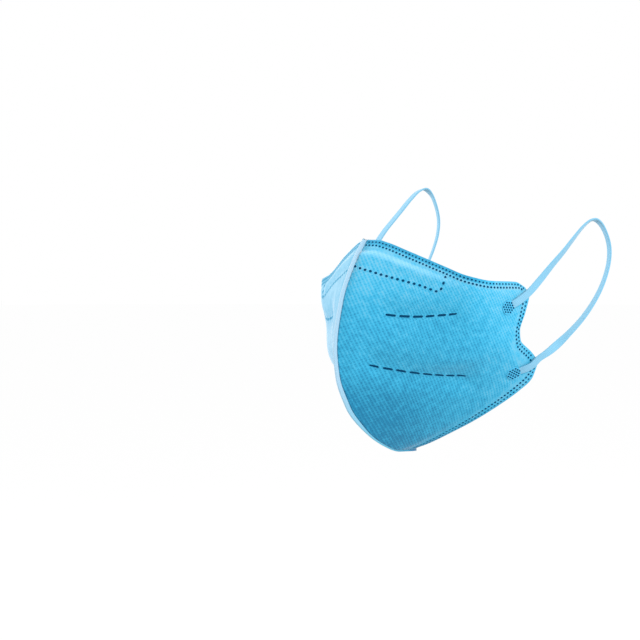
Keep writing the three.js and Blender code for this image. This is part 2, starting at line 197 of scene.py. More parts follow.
# The seam flange
SEAM_STEPS = 260
SEAM_ARC = 144  # its length
TAB_LEVEL = 1.02  # the tab's end, past the seam's own levels
FLANGE_EASE = 0.3  # its outer edges are rounded by this much
FLANGE_EASE_MIDDLE = (0.1, 0.09)

# The ear bands
BAND_STEPS = 320
CURVE_STEPS = 40  # between two points of its route
BAND_FACE_STEPS = 25
BAND_EDGE_STEPS = 7
BAND_EDGE_SHARE = 0.6
BAND_END_SHARE = 0.3  # of the thickness, where a band goes in under its spot
BAND_THINNED = (0.6, 4)  # thinned from here on towards its ends
UNDER_SPOT = 0.9  # how far inside the spot's rim it ends
ABOVE_PANEL = 0.16

# Weld marks. The dotted weld round the nose clip: along, level
CLIP_LINE = [
    (0.004, 0.113), (0.06, 0.1285), (0.152, 0.1375), (0.263, 0.14), (0.373, 0.143), (0.44, 0.15),
    (0.468, 0.152), (0.481, 0.144), (0.487, 0.128), (0.489, 0.108), (0.492, 0.086), (0.494, 0.064),
    (0.498, 0.046),
]
CLIP_PITCH = 3.12
CLIP_DOT = (1.75, 1.4)
# The border's rows of dots: name, distance from the edge, a dot's length and width, first dot
BORDER_ROWS = [("outer", 1.5, 1.1, 0.95, 1.1), ("inner", 3.45, 1.3, 1.15, 0.1)]
BORDER_PITCH = 2.06
ROW_STEPS = 40  # between two places that a row goes through
CORNER_ROOM = 1.6  # a row turns this far before the next edge's row
CHIN_COLUMN = 4  # the bottom row ends at this column of the grid, by the chin's tab
EAR_COLUMN = -4  # the grid's column by the ear edge in which a row's height is measured
DOT_SIDES = 12
DASH_STEPS = 9
DASH_HALF_WIDTH = 0.58
DASH_CUT = 0.18  # taken off each end, because the round ends reach past it
PANEL_RUN = 85  # about, from the seam to the ear edge
BAND_MARGIN = 0.5
# A weld through the cloth, from its puckered rim to its floor: share of the way from the floor's
# edge to the rim's foot, and height above the cloth. The last ring's inside is the floor.
PUCKER = [(1.0, -0.03), (0.75, 0.06), (0.45, 0.11), (0.2, 0.1), (0.05, 0.05), (0.0, 0.03)]
RIM_WIDTH = 0.45  # of the puckered cloth round a weld

# The round weld spots: share of the radius, share of the rise
SPOT_PROFILE = [(1.0, 0.05), (1.0, 0.75), (0.97, 0.93), (0.92, 1.0), (0.7, 1.0), (0.35, 1.0)]
SPOT_SIDES = 48
SPOT_LIFT = 0.3 * CLEARANCE
SPOT_RISE = 0.28
SPOT_DOT_LIFT = 0.05
SPOT_DOT_PITCH = (1.6, 1.2)
SPOT_DOT_HALF = (0.52, 0.53)
SPOT_DOT_SLANT = 0.1
SPOT_DOT_SIDES = 10
SPOT_DOT_ROWS = 3  # on each side of the middle
SPOT_DOT_MARGIN = 0.3
SPOT_TILT = math.radians(12)


def look_from_the_photo():
    """The camera, placed from the seam's nose end and shifted across and up in its own picture."""
    back = np.array([
        math.sin(AZIMUTH) * math.cos(ELEVATION),
        -math.cos(AZIMUTH) * math.cos(ELEVATION),
        math.sin(ELEVATION),
    ])
    right = np.array([math.cos(AZIMUTH), math.sin(AZIMUTH), 0.0])
    up = np.array([
        -math.sin(AZIMUTH) * math.sin(ELEVATION),
        math.cos(AZIMUTH) * math.sin(ELEVATION),
        math.cos(ELEVATION),
    ])
    camera = bpy.data.objects.new("camera", bpy.data.cameras.new("camera"))
    scene.collection.objects.link(camera)
    place = back * DISTANCE + right * SIDE_SHIFT + up * UP_SHIFT + NOSE_TO_FRAME
    camera.location = Vector(place * MM)
    camera.rotation_mode = "QUATERNION"
    camera.rotation_quaternion = Vector(-back).to_track_quat("-Z", "Y")
    camera.data.lens = LENS
    camera.data.clip_start = 0.05
    camera.data.clip_end = 60
    scene.camera = camera


look_from_the_photo()


def read(table, at, column):
    """Smooth reading of one column of a table between its rows, without overshoot."""
    at = np.asarray(at, float)
    x, y = table[:, 0], table[:, column]
    secant = np.diff(y) / np.diff(x)
    slope = np.zeros(len(x))
    slope[0], slope[-1] = secant[0], secant[-1]
    for i in range(1, len(x) - 1):
        product = secant[i - 1] * secant[i]
        if product > 0:
            slope[i] = 2 * product / (secant[i - 1] + secant[i])
    row = np.clip(np.searchsorted(x, at, side="left") - 1, 0, len(x) - 2)
    width = x[row + 1] - x[row]
    t = np.clip((at - x[row]) / width, 0, 1)
    t2, t3 = t * t, t * t * t
    return (
        y[row] * (2 * t3 - 3 * t2 + 1)
        + y[row + 1] * (3 * t2 - 2 * t3)
        + slope[row] * width * (t3 - 2 * t2 + t)
        + slope[row + 1] * width * (t3 - t2)
    )


def smoothstep(x, low, high):
    t = np.clip((x - low) / (high - low), 0, 1)
    return t * t * (3 - 2 * t)


def unit(v):
    return v / np.linalg.norm(v, axis=-1, keepdims=True)


def across_to(v, normal):
    """The part of a direction that is square to the normal, as a unit vector."""
    return unit(v - normal * np.dot(v, normal))


def circle(sides):
    """Cosine and sine at even steps round a circle."""
    return [(math.cos(a), math.sin(a)) for a in 2 * math.pi * np.arange(sides) / sides]


def run_along(points):
    """How far along a line of points each of them is."""
    steps = np.linalg.norm(np.diff(points, axis=0), axis=1)
    return np.concatenate([[0], np.cumsum(steps)])


def to_frame(points):
    return (np.asarray(points, float) + NOSE_TO_FRAME) * MM


# The panels' surfaces


def seam_point(level):
    """How far back and how far down the front seam is at a level."""
    return (
        CHIN_SETBACK * read(SEAM_PROFILE, level, 2) - SEAM_BULGE * read(SEAM_PROFILE, level, 1),
        SEAM_HEIGHT * read(SEAM_PROFILE, level, 3),
    )


def top_drop(side, along):
    return CHEEK_DROP * read(TOP_EDGE, along, 1 + SIDES.index(side))


def bottom_drop(along):
    climb = SEAM_HEIGHT - CHEEK_DROP - EAR_EDGE_HEIGHT
    return SEAM_HEIGHT - climb * read(BOTTOM_EDGE, along, 1)


def cross2(a, b):
    return a[0] * b[1] - a[1] * b[0]


def section(side, level):
    """One section of a panel seen from above, as points, and how far along it each point is."""
    seam_back, _ = seam_point(level)
    half = REAR_HALF_WIDTH * read(EAR_EDGE, level, 1)
    ear_back = REAR_SETBACK * read(EAR_EDGE, level, 2)
    chord = math.atan2(half, ear_back - seam_back)
    leave_angle = chord + math.radians(read(SECTIONS, level, 1 + SIDES.index(side)))
    arrive_angle = chord - math.radians(read(SECTIONS, level, 3))
    start = np.array([PANEL_START, seam_back + PANEL_START / math.tan(leave_angle)])
    end = np.array([half, ear_back])
    leave = np.array([math.sin(leave_angle), math.cos(leave_angle)])
    arrive = np.array([math.sin(arrive_angle), math.cos(arrive_angle)])
    span = end - start
    front_run = cross2(span, arrive) / cross2(leave, arrive)
    rear_run = cross2(leave, span) / cross2(leave, arrive)
    corner = start + leave * front_run
    bend_start = start + leave * front_run * read(SECTIONS, level, 4)
    bend_end = end - arrive * rear_run * read(SECTIONS, level, 5)
    t = np.linspace(0, 1, BEND_STEPS)[:, None]
    bend = (1 - t) ** 2 * bend_start + 2 * t * (1 - t) * corner + t * t * bend_end
    points = np.vstack([start, bend, end])
    return points, run_along(points)


def dash_level(line, along):
    """Level of a dashed weld line, a parabola through its start, middle and end."""
    first, last, low, middle, high = line
    t = np.clip((along - first) / (last - first), 0, 1)
    bow = 4 * t * (1 - t)
    return low + (high - low) * t + (middle - (low + high) / 2) * bow


ALONG = np.linspace(0, 1, COLUMNS + 1)
LEVEL = np.linspace(0, 1, ROWS + 1)


def cloth_measures(base):
    """How far across and down each grid point is, and how far across on the cloth laid flat."""
    across = np.linalg.norm(np.diff(base, axis=1), axis=2)
    down = np.linalg.norm(np.diff(base, axis=0), axis=2)
    u = np.concatenate([np.zeros((ROWS + 1, 1)), np.cumsum(across, axis=1)], axis=1)
    v = np.concatenate([np.zeros((1, COLUMNS + 1)), np.cumsum(down, axis=0)], axis=0)
    flat_u = np.zeros_like(u)
    diagonal = base[:, :, 0] * FLAT_AXIS[0] + base[:, :, 1] * FLAT_AXIS[1]
    for j in range(ROWS + 1):
        plan = run_along(base[j, :, :2])
        flat_u[j] = plan - np.interp(FLAT_LINE, diagonal[j], plan)
    looser = LOOSE_FROM + (flat_u - LOOSE_FROM) * LOOSE_SHARE
    return u, v, np.where(flat_u < LOOSE_FROM, looser, flat_u)


def clip_ridge(down, past):
    """Rise of the cloth over the nose clip: steep above, sloping away below and at its end."""
    top, bottom = -CLIP_WIDTH / 2, CLIP_WIDTH / 2
    rise = RIDGE_RISE * smoothstep(down, top - RIDGE_EASE, top + RIDGE_EASE)
    rise *= 1 - smoothstep(down, top + RIDGE_CREST, bottom + RIDGE_FOOT)
    return rise * (1 - smoothstep(past, -RIDGE_END, RIDGE_END))


def trough(line, first, last, half_width, fade, where):
    """1 along a dashed weld line from first to last, and softly less beside and beyond it."""
    along, level, height, length = where
    away = (level - dash_level(line, along)) * height / half_width
    beyond = np.maximum(first - along, along - last) * length
    return (1 - smoothstep(beyond, *fade)) * np.exp(-away * away)


def panel_surface(side):
    """Outer and inner face of a panel as grids [level, along], and the cloth's measures."""
    base = np.zeros((ROWS + 1, COLUMNS + 1, 3))
    length = np.zeros((ROWS + 1, 1))
    top, bottom = top_drop(side, ALONG), bottom_drop(ALONG)
    for j, level in enumerate(LEVEL):
        points, run = section(side, level)
        length[j] = run[-1]
        share_front = seam_point(level)[1] / SEAM_HEIGHT
        share_rear = read(EAR_EDGE, level, 3)
        share = share_front + (share_rear - share_front) * ALONG
        base[j, :, 0] = np.interp(ALONG * run[-1], run, points[:, 0])
        base[j, :, 1] = np.interp(ALONG * run[-1], run, points[:, 1])
        base[j, :, 2] = -(top + (bottom - top) * share)
    normal = unit(np.cross(np.gradient(base, axis=0), np.gradient(base, axis=1)))
    u, v, flat_u = cloth_measures(base)

    along, level = np.meshgrid(ALONG, LEVEL)
    height = (bottom - top)[None, :]
    to_ear = (1 - along) * length
    inset = np.minimum(np.minimum(level * height, (1 - level) * height), to_ear)
    press = BORDER_SINK * (1 - smoothstep(inset, BORDER_WIDTH, BORDER_WIDTH + BORDER_RAMP))
    ridge = clip_ridge(level * height - CLIP_DROP, along * length - CLIP_HALF_LENGTH)
    valley = np.zeros_like(inset)
    groove = np.zeros_like(inset)
    where = (along, level, height, length)
    for line, dashes in zip(DASH_LINES, DASHES):
        fade = (-VALLEY_FADE / 2, VALLEY_FADE)
        valley += VALLEY_DEPTH * trough(line, *line[:2], VALLEY_HALF_WIDTH, fade, where)
        for dash in dashes:
            fade = (-GROOVE_FADE, GROOVE_FADE)
            groove += GROOVE_DEPTH * trough(line, *dash, GROOVE_HALF_WIDTH, fade, where)
    outer = base + normal * (ridge - valley - press - groove)[:, :, None]
    inner = base - normal * (valley + WALL)[:, :, None]
    # The front end runs on into the flange and is cut parallel to it.
    outer[:, 0] = base[:, 0]
    slide = base[:, 2] - base[:, 0]
    for face in (outer, inner):
        face[:, 0] += slide * ((TUCK - face[:, 0, 0]) / slide[:, 0])[:, None]
    return {
        "base": base, "outer": outer, "inner": inner, "normal": normal,
        "u": u, "v": v, "inset": inset, "flat_u": flat_u, "flat_v": -base[:, :, 2],
    }


surfaces = {side: panel_surface(side) for side in SIDES}


def pick(grid, along, level):
    """Bilinear reading of one of the panel's grids."""
    x = np.clip(np.asarray(along, float) * COLUMNS, 0, COLUMNS - 1e-6)
    y = np.clip(np.asarray(level, float) * ROWS, 0, ROWS - 1e-6)
    i, j = x.astype(int), y.astype(int)
    fx, fy = x - i, y - j
    if grid.ndim == 3:
        fx, fy = fx[..., None], fy[..., None]
    low = grid[j, i] * (1 - fx) + grid[j, i + 1] * fx
    high = grid[j + 1, i] * (1 - fx) + grid[j + 1, i + 1] * fx
    return low * (1 - fy) + high * fy


def surface(side, along, level):
    """A point on a panel's outer face, and the normal there."""
    panel = surfaces[side]
    return pick(panel["outer"], along, level), pick(panel["normal"], along, level)


def cloth_at(side, along, level):
    """The cloth's measures at a point: across, down and in from the border."""
    panel = surfaces[side]
    return np.array([pick(panel[name], along, level) for name in ("flat_u", "flat_v", "inset")])


# Meshes


def new_mesh(name, points, faces, mirrored=False):
    """A smooth mesh object from points in millimetres, mirrored in the middle plane if asked."""
    points = np.array(points, float)
    if mirrored:
        points[:, 0] *= -1
        faces = [tuple(reversed(f)) for f in faces]
    data = bpy.data.meshes.new(name)
    data.from_pydata(to_frame(points).tolist(), [], faces)
    data.validate()
    data.polygons.foreach_set("use_smooth", [True] * len(data.polygons))
    data.update()
    obj = bpy.data.objects.new(name, data)
    scene.collection.objects.link(obj)
    return obj


def ring_faces(count, size, first=0):
    """Quads between count closed rings of size points."""
    faces = []
    for i in range(count - 1):
        for j in range(size):
            a = first + i * size + j
            b = first + i * size + (j + 1) % size
            faces.append((a, b, b + size, a + size))
    return faces


def turned_over(quads):
    """The same quads, seen from the other side."""
    return [(b, a, d, c) for a, b, c, d in quads]


def end_caps(count, size):
    """The two faces that close a tube of count rings."""
    last = (count - 1) * size
    return [tuple(range(size))[::-1], tuple(range(last, last + size))]


def set_attribute(obj, name, values):
    """A vector for each point of the mesh."""
    attribute = obj.data.attributes.new(name, "FLOAT_VECTOR", "POINT")
    attribute.data.foreach_set("vector", np.asarray(values, np.float32).ravel())


# Ear loops


def catmull_rom(points):
    """The CAD part's centripetal curve through points, in small steps."""
    p = np.array(points, float)
    p = np.vstack([2 * p[0] - p[1], p, 2 * p[-1] - p[-2]])
    found = []
    for i in range(1, len(p) - 2):
        d0, d1, d2 = [np.linalg.norm(p[k + 1] - p[k]) ** 0.5 for k in (i - 1, i, i + 1)]
        m1 = (p[i] - p[i - 1]) / d0 - (p[i + 1] - p[i - 1]) / (d0 + d1) + (p[i + 1] - p[i]) / d1
        m2 = (p[i + 1] - p[i]) / d1 - (p[i + 2] - p[i]) / (d1 + d2) + (p[i + 2] - p[i + 1]) / d2
        t = np.linspace(0, 1, CURVE_STEPS, endpoint=False)[:, None]
        found.append(
            p[i] * (2 * t ** 3 - 3 * t ** 2 + 1)
            + p[i + 1] * (3 * t ** 2 - 2 * t ** 3)
            + m1 * d1 * (t ** 3 - 2 * t ** 2 + t)
            + m2 * d1 * (t ** 3 - t ** 2)
        )
    found.append(p[-2][None])
    return np.vstack(found)


def evenly(points, count):
    """A line's points again, evenly spaced, and the line's length."""
    run = run_along(points)
    at = np.linspace(0, run[-1], count)
    return np.stack([np.interp(at, run, points[:, k]) for k in range(3)], axis=1), run[-1]


def band_outline():
    """The band cut across, as width and thickness: two flat faces and rounded edges."""
    steps = np.linspace(-1, 1, BAND_FACE_STEPS)
    half = LOOP_THICKNESS / 2
    round_edge = half * BAND_EDGE_SHARE
    flat = LOOP_WIDTH / 2 - round_edge
    turn = np.linspace(math.pi / 2, -math.pi / 2, BAND_EDGE_STEPS + 2)[1:-1]
    top = [(x * flat, half) for x in steps]
    right_end = [(flat + round_edge * math.cos(a), half * math.sin(a)) for a in turn]
    bottom = [(-x * flat, -half) for x in steps]
    left_end = [(-flat - round_edge * math.cos(a), -half * math.sin(a)) for a in turn]
    return top + right_end + bottom + left_end


def tuck_under(side, name, neighbour):
    """Where a band's end goes in under the rim of a weld spot."""
    centre = pick(surfaces[side]["base"], *SPOTS[name])
    normal = pick(surfaces[side]["normal"], *SPOTS[name])
    way = across_to(np.array(neighbour) - centre, normal)
    return centre + way * (SPOT_DIAMETER / 2 - UNDER_SPOT) + normal * ABOVE_PANEL


def build_loop(side):
    """An ear band, seated on its spots at both ends and turned as it hangs in between."""
    route = LEFT_LOOP_ROUTE if side == "left" else RIGHT_LOOP_ROUTE
    route = [tuck_under(side, "upper", route[0]), *route, tuck_under(side, "lower", route[-1])]
    points, length = evenly(catmull_rom(route), BAND_STEPS)
    ahead = unit(np.gradient(points, axis=0))
    share = np.linspace(0, 1, len(points))
    seated = read(LOOP_TWIST, share, 3)[:, None]
    turn = np.radians(read(LOOP_TWIST, share, 1 + SIDES.index(side)))[:, None]
    upper, lower = [pick(surfaces[side]["normal"], *place) for place in SPOTS.values()]
    seat = np.where(share[:, None] < 0.5, upper, lower)
    facing = np.array([1.0, 0, 0]) * (1 - seated) + seat * seated
    facing = unit(facing - ahead * np.sum(facing * ahead, axis=1, keepdims=True))
    facing = facing * np.cos(turn) + np.cross(ahead, facing) * np.sin(turn)
    across = np.cross(facing, ahead)
    outline = band_outline()
    from_end = np.minimum(share, 1 - share) * length
    thinned = BAND_END_SHARE + (1 - BAND_END_SHARE) * smoothstep(from_end, *BAND_THINNED)
    rings = [points + across * w + facing * (t * thinned[:, None]) for w, t in outline]
    mesh_points = np.stack(rings, axis=1).reshape(-1, 3)
    size = len(outline)
    faces = ring_faces(len(points), size) + end_caps(len(points), size)
    mirrored = side == "right"
    obj = new_mesh(f"{side}_ear_band", mesh_points, faces, mirrored)
    along = np.repeat(share * length, size)
    width = np.tile([w for w, _ in outline], len(points))
    set_attribute(obj, "cloth", np.stack([along, width, np.zeros_like(along)], axis=1))
    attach(obj, "root")
    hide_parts(f"{side}_ear_loop")
    return obj, points


loops = {side: build_loop(side) for side in SIDES}

# Panels


def build_panel(side):
    """A panel's cloth as one closed wall. Its inner face has the second material, the lining."""
    panel = surfaces[side]
    outer, inner = panel["outer"].transpose(1, 0, 2), panel["inner"].transpose(1, 0, 2)
    size = 2 * (ROWS + 1)
    rings = np.concatenate([outer, inner[:, ::-1]], axis=1)
    faces = ring_faces(COLUMNS + 1, size)
    last = COLUMNS * size
    for j in range(ROWS):
        k = size - 1 - j
        faces.append((j, k, k - 1, j + 1))
        faces.append((last + j, last + j + 1, last + k - 1, last + k))
    obj = new_mesh(f"{side}_panel_cloth", rings.reshape(-1, 3), faces, side == "right")
    cloth = np.stack([panel["flat_u"], panel["flat_v"], panel["inset"]], axis=2)
    cloth = cloth.transpose(1, 0, 2)
    both = np.concatenate([cloth, cloth[:, ::-1]], axis=1).reshape(-1, 3)
    set_attribute(obj, "cloth", both)
    inside = np.zeros(len(faces), bool)
    quad = np.arange(COLUMNS * size) % size
    inside[: COLUMNS * size] = (quad > ROWS) & (quad < size - 1)
    obj.data.polygons.foreach_set("material_index", inside.astype(np.int32))
    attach(obj, "root")
    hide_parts(f"{side}_panel")
    return obj


panels = {side: build_panel(side) for side in SIDES}

# Seam flange


def seam_line(level):
    """Points of the seam in the middle plane."""
    y, drop = seam_point(level)
    return np.stack([np.zeros_like(y), y, -drop], axis=1)


def build_seam():
    """The flange along the seam, carried on past its lower end as the square tab."""
    level = np.linspace(0, 1, SEAM_STEPS + 1)
    after, before = np.minimum(level + LOOK_AHEAD, 1), np.maximum(level - LOOK_AHEAD, 0)
    ahead = unit(seam_line(after) - seam_line(before))
    out = np.stack([np.zeros(len(level)), ahead[:, 2], -ahead[:, 1]], axis=1)
    out[0] = (0, 1 / ahead[0, 2], 0)  # the upper end is cut level
    middle = seam_line(level)
    middle = np.vstack([middle, middle[-1] + ahead[-1] * CHIN_TAB])
    out = np.vstack([out, out[-1]])
    proud = FLANGE_PROUD * read(FLANGE_EDGE, np.append(level, 1), 1)
    half = FLANGE_THICKNESS / 2
    ease = FLANGE_EASE
    aside, down = FLANGE_EASE_MIDDLE
    # Across the flange: out from the middle plane, share of the way ahead and millimetres on top
    outline = [
        (half, 0, -FLANGE_ROOT), (half, 0, 0), (half, 0.5, 0), (half, 1, -ease),
        (half - aside, 1, -down), (half - ease, 1, 0), (ease - half, 1, 0),
        (aside - half, 1, -down), (-half, 1, -ease), (-half, 0.5, 0), (-half, 0, 0),
        (-half, 0, -FLANGE_ROOT),
    ]
    rings = [
        middle + out * (proud * part + more)[:, None] + np.array([1.0, 0, 0]) * x
        for x, part, more in outline
    ]
    points = np.stack(rings, axis=1).reshape(-1, 3)
    size = len(outline)
    faces = ring_faces(len(middle), size) + end_caps(len(middle), size)
    obj = new_mesh("centre_seam_weld", points, faces)
    run = np.repeat(np.append(level, TAB_LEVEL), size)
    depth = proud[:, None] * [part for _, part, _ in outline] + [more for *_, more in outline]
    set_attribute(obj, "cloth", np.stack([run * SEAM_ARC, depth.ravel(), run], axis=1))
    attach(obj, "root")
    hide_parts("centre_seam")
    return obj


seam = build_seam()

# Weld marks


def fine_line(side, places):
    """A line on a panel in small steps, and how far along it each is."""
    places = np.array(places, float)
    fine = []
    for a, b in zip(places[:-1], places[1:]):
        t = np.linspace(0, 1, ROW_STEPS, endpoint=False)[:, None]
        fine.append(a + (b - a) * t)
    fine.append(places[-1:])
    fine = np.vstack(fine)
    return fine, run_along(pick(surfaces[side]["base"], fine[:, 0], fine[:, 1]))


def places_along(side, places, pitch, start=0.0, near=0.3):
    """(along, level, direction) for marks every pitch millimetres."""
    base = surfaces[side]["base"]
    fine, run = fine_line(side, places)
    at = np.arange(start, run[-1], pitch)
    along, level = [np.interp(at, run, fine[:, k]) for k in (0, 1)]
    before = pick(base, *[np.interp(at - near, run, fine[:, k]) for k in (0, 1)])
    after = pick(base, *[np.interp(at + near, run, fine[:, k]) for k in (0, 1)])
    return along, level, unit(after - before)


def border_row(side, distance):
    """(along, level) places of a row at that distance from the top, ear and bottom edges."""
    u, v = surfaces[side]["u"], surfaces[side]["v"]
    corner = distance + CORNER_ROOM
    places = []

    def level_edge(columns, drops):
        for i in columns:
            level = np.interp(drops[i], v[:, i], LEVEL)
            j = int(round(level * ROWS))
            if u[j, -1] - u[j, i] > corner:
                places.append((ALONG[i], level))

    level_edge(range(1, COLUMNS + 1), v[0] + distance)
    down = v[:, EAR_COLUMN]
    for j in range(ROWS + 1):
        if corner < down[j] and corner < down[-1] - down[j]:
            places.append((np.interp(u[j, -1] - distance, u[j], ALONG), LEVEL[j]))
    level_edge(range(COLUMNS, CHIN_COLUMN, -1), v[-1] - distance)
    return places


def weld_object(name, side, points, faces, floors, cloth):
    """Pressed marks as one mesh. Their floors have the second material, the melted cloth."""
    obj = new_mesh(name, points, faces, side == "right")
    set_attribute(obj, "cloth", cloth)
    obj.data.polygons.foreach_set("material_index", floors)
    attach(obj, "root")
    return obj


def weld_dots(name, side, where, length, width):
    """Oval dots, each a pressed pit with a puckered rim of cloth."""
    points, faces, floors, cloth = [], [], [], []
    for along, level, way in where:
        centre, normal = surface(side, along, level)
        way = across_to(way, normal)
        other = np.cross(normal, way)
        first = len(points)
        for share, height in PUCKER:
            for cos, sin in circle(DOT_SIDES):
                reach = (length / 2 + share * RIM_WIDTH) * cos
                spread = (width / 2 + share * RIM_WIDTH) * sin
                points.append(centre + way * reach + other * spread + normal * height)
        cloth += [cloth_at(side, along, level)] * (len(PUCKER) * DOT_SIDES)
        rim = ring_faces(len(PUCKER), DOT_SIDES, first)
        last = first + (len(PUCKER) - 1) * DOT_SIDES
        faces += rim + [tuple(range(last, last + DOT_SIDES))]
        floors += [0] * len(rim) + [1]
    return weld_object(name, side, points, faces, floors, cloth)


def dash_floor(first):
    """Faces inside a dash's last ring: quads along it and one face for each round end."""
    far_end, near_end = first + DASH_STEPS - 1, first + 2 * DASH_STEPS + 2
    faces = []
    for i in range(DASH_STEPS - 1):
        faces.append((first + i, near_end - i, near_end - i - 1, first + i + 1))
    faces.append(tuple(far_end + k for k in range(5))[::-1])
    faces.append((first, near_end + 3, near_end + 2, near_end + 1, near_end))
    return faces


def weld_dashes(name, side):
    """The dashes of both long weld lines, pressed in like the dots."""
    points, faces, floors, cloth = [], [], [], []
    # Round the dash: along one side, round the end, back and round the start
    outline = [(i, 1, 0) for i in range(DASH_STEPS)]
    outline += [(DASH_STEPS - 1, math.cos(a), math.sin(a)) for a in np.radians((45, 90, 135))]
    outline += [(i, -1, 0) for i in range(DASH_STEPS - 1, -1, -1)]
    outline += [(0, math.cos(a), math.sin(a)) for a in np.radians((225, 270, 315))]
    size = len(outline)
    cut = DASH_CUT / PANEL_RUN
    for line, dashes in zip(DASH_LINES, DASHES):
        for dash_start, dash_end in dashes:
            along = np.linspace(dash_start + cut, dash_end - cut, DASH_STEPS)
            level = dash_level(line, along)
            centre, normal = surface(side, along, level)
            way = unit(np.gradient(centre, axis=0))
            other = np.cross(normal, way)
            first = len(points)
            for share, height in PUCKER:
                reach = DASH_HALF_WIDTH + share * RIM_WIDTH
                for i, side_way, end_way in outline:
                    offset = other[i] * side_way + way[i] * end_way
                    points.append(centre[i] + offset * reach + normal[i] * height)
                    cloth.append(cloth_at(side, along[i], level[i]))
            rim = turned_over(ring_faces(len(PUCKER), size, first))
            floor = dash_floor(first + (len(PUCKER) - 1) * size)
            faces += rim + floor
            floors += [0] * len(rim) + [1] * len(floor)
    return weld_object(name, side, points, faces, floors, cloth)


def near_band(point, side):
    """Whether a mark at this point would be hidden under the ear band."""
    nearest = np.min(np.linalg.norm(loops[side][1] - point, axis=1))
    return nearest < LOOP_WIDTH / 2 + BAND_MARGIN


def build_marks(side):
    """A panel's pressed marks: the border's two rows, the clip's line and the dashes."""
    made = []
    for row, distance, length, width, start in BORDER_ROWS:
        places = zip(*places_along(side, border_row(side, distance), BORDER_PITCH, start))
        where = [place for place in places if not near_band(surface(side, *place[:2])[0], side)]
        made.append(weld_dots(f"{side}_{row}_border_welds", side, where, length, width))
    where = zip(*places_along(side, CLIP_LINE, CLIP_PITCH))
    made.append(weld_dots(f"{side}_clip_welds", side, where, *CLIP_DOT))
    made.append(weld_dashes(f"{side}_dash_welds", side))
    return made


# Weld spots


def build_spot(side, name):
    """A raised round weld and the dots pressed into it."""
    along, level = SPOTS[name]
    base = surfaces[side]["base"]
    centre, normal = pick(base, along, level), pick(surfaces[side]["normal"], along, level)
    across = unit(pick(base, along + LOOK_AHEAD, level) - pick(base, along - LOOK_AHEAD, level))
    down = np.cross(across, normal)
    points = []
    for reach, rise in SPOT_PROFILE:
        lift = normal * (SPOT_LIFT + SPOT_RISE * rise)
        for cos, sin in circle(SPOT_SIDES):
            rim = across * cos + down * sin
            points.append(centre + rim * (reach * SPOT_DIAMETER / 2) + lift)
    points.append(centre + normal * (SPOT_LIFT + SPOT_RISE))
    faces = turned_over(ring_faces(len(SPOT_PROFILE), SPOT_SIDES))
    last = (len(SPOT_PROFILE) - 1) * SPOT_SIDES
    for k in range(SPOT_SIDES):
        faces.append((last + (k + 1) % SPOT_SIDES, last + k, len(points) - 1))
    disc = new_mesh(f"{side}_{name}_spot", points, faces, side == "right")
    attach(disc, "root")
    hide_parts(f"{side}_{name}_weld_spot")
    top = centre + normal * (SPOT_LIFT + SPOT_RISE + SPOT_DOT_LIFT)
    return disc, build_spot_dots(f"{side}_{name}_spot_dots", side, top, across, down)


def build_spot_dots(name, side, top, across, down):
    """Flat dots in staggered rows, turned a little in the spot's plane."""
    points, faces = [], []
    numbers = range(-SPOT_DOT_ROWS, SPOT_DOT_ROWS + 1)
    for row, column in [(row, column) for row in numbers for column in numbers]:
        x = (column + 0.5 * (row % 2)) * SPOT_DOT_PITCH[0]
        y = row * SPOT_DOT_PITCH[1]
        if math.hypot(x, y) > SPOT_DIAMETER / 2 - SPOT_DOT_MARGIN:
            continue
        middle_x = x * math.cos(SPOT_TILT) - y * math.sin(SPOT_TILT)
        middle_y = x * math.sin(SPOT_TILT) + y * math.cos(SPOT_TILT)
        first = len(points)
        points.append(top + across * middle_x + down * middle_y)
        for cos, sin in circle(SPOT_DOT_SIDES):
            dx = SPOT_DOT_HALF[0] * cos + SPOT_DOT_SLANT * sin
            dy = SPOT_DOT_HALF[1] * sin
            points.append(top + across * (middle_x + dx) + down * (middle_y + dy))
        for k in range(SPOT_DOT_SIDES):
            faces.append((first, first + 1 + (k + 1) % SPOT_DOT_SIDES, first + 1 + k))
    obj = new_mesh(name, points, faces, side == "right")
    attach(obj, "root")
    return obj


weld_marks = []
spots = []
spot_dots = []
for side in SIDES:
    weld_marks += build_marks(side)
    for name in SPOTS:
        disc, dots = build_spot(side, name)
        spots.append(disc)
        spot_dots.append(dots)

# Materials


def linear(r, g, b):
    """A colour given as 0-255 sRGB."""
    def one(c):
        c /= 255
        return c / 12.92 if c <= 0.04045 else ((c + 0.055) / 1.055) ** 2.4
    return (one(r), one(g), one(b), 1.0)


# Dark, middle and light cloth, and a copy for the right side with painted light that washes it out.
CLOTH_NEAR = linear(16, 98, 132), linear(40, 136, 169), linear(98, 150, 170)
CLOTH_PAINTED_LIGHT_COPY = linear(14, 92, 124), linear(36, 124, 155), linear(92, 148, 170)
# A painted highlight along the nose clip
CLOTH_PAINTED_HIGHLIGHT = linear(150, 188, 206)
LINING = linear(214, 219, 224)
WELD_NEAR, FUZZ_NEAR = linear(0, 46, 76), linear(60, 170, 220)
# The right side's welds: a paler copy, with painted light that washes them out.
WELD_PAINTED_LIGHT_COPY, FUZZ_PAINTED_LIGHT_COPY = linear(10, 68, 98), linear(120, 200, 235)
SPOT = linear(52, 138, 172)
BAND_DARK = linear(70, 126, 152)
BAND_LIGHT = linear(102, 152, 176)
# Down the flange: level and colour, pale with painted light at the nose, darker blue with painted
# shade under the chin
FLANGE_PAINTED_LIGHT_COLOURS = [
    (0.52, linear(120, 150, 168)), (0.86, linear(62, 138, 162)),
    (0.97, linear(40, 124, 154)), (1.0, linear(14, 96, 134)),
]

# The embossed pattern: dented lines with beads along them
LINE_TILT = math.radians(23.5)
LINE_PITCH = 1.53
BEAD_PITCH = 1.4
BEAD_SHARE = 0.6
WOBBLE_ACROSS = 0.5
WOBBLE_ALONG = 0.9
WOBBLE_SCALE = 0.5
MOTTLE_SCALE = 0.3
FINE_SCALE = 2.2
FINE_RELIEF = 0.6
CLOTH_RELIEF = 0.00013  # metres
CLOTH_FUZZ_ROUGHNESS = 0.35
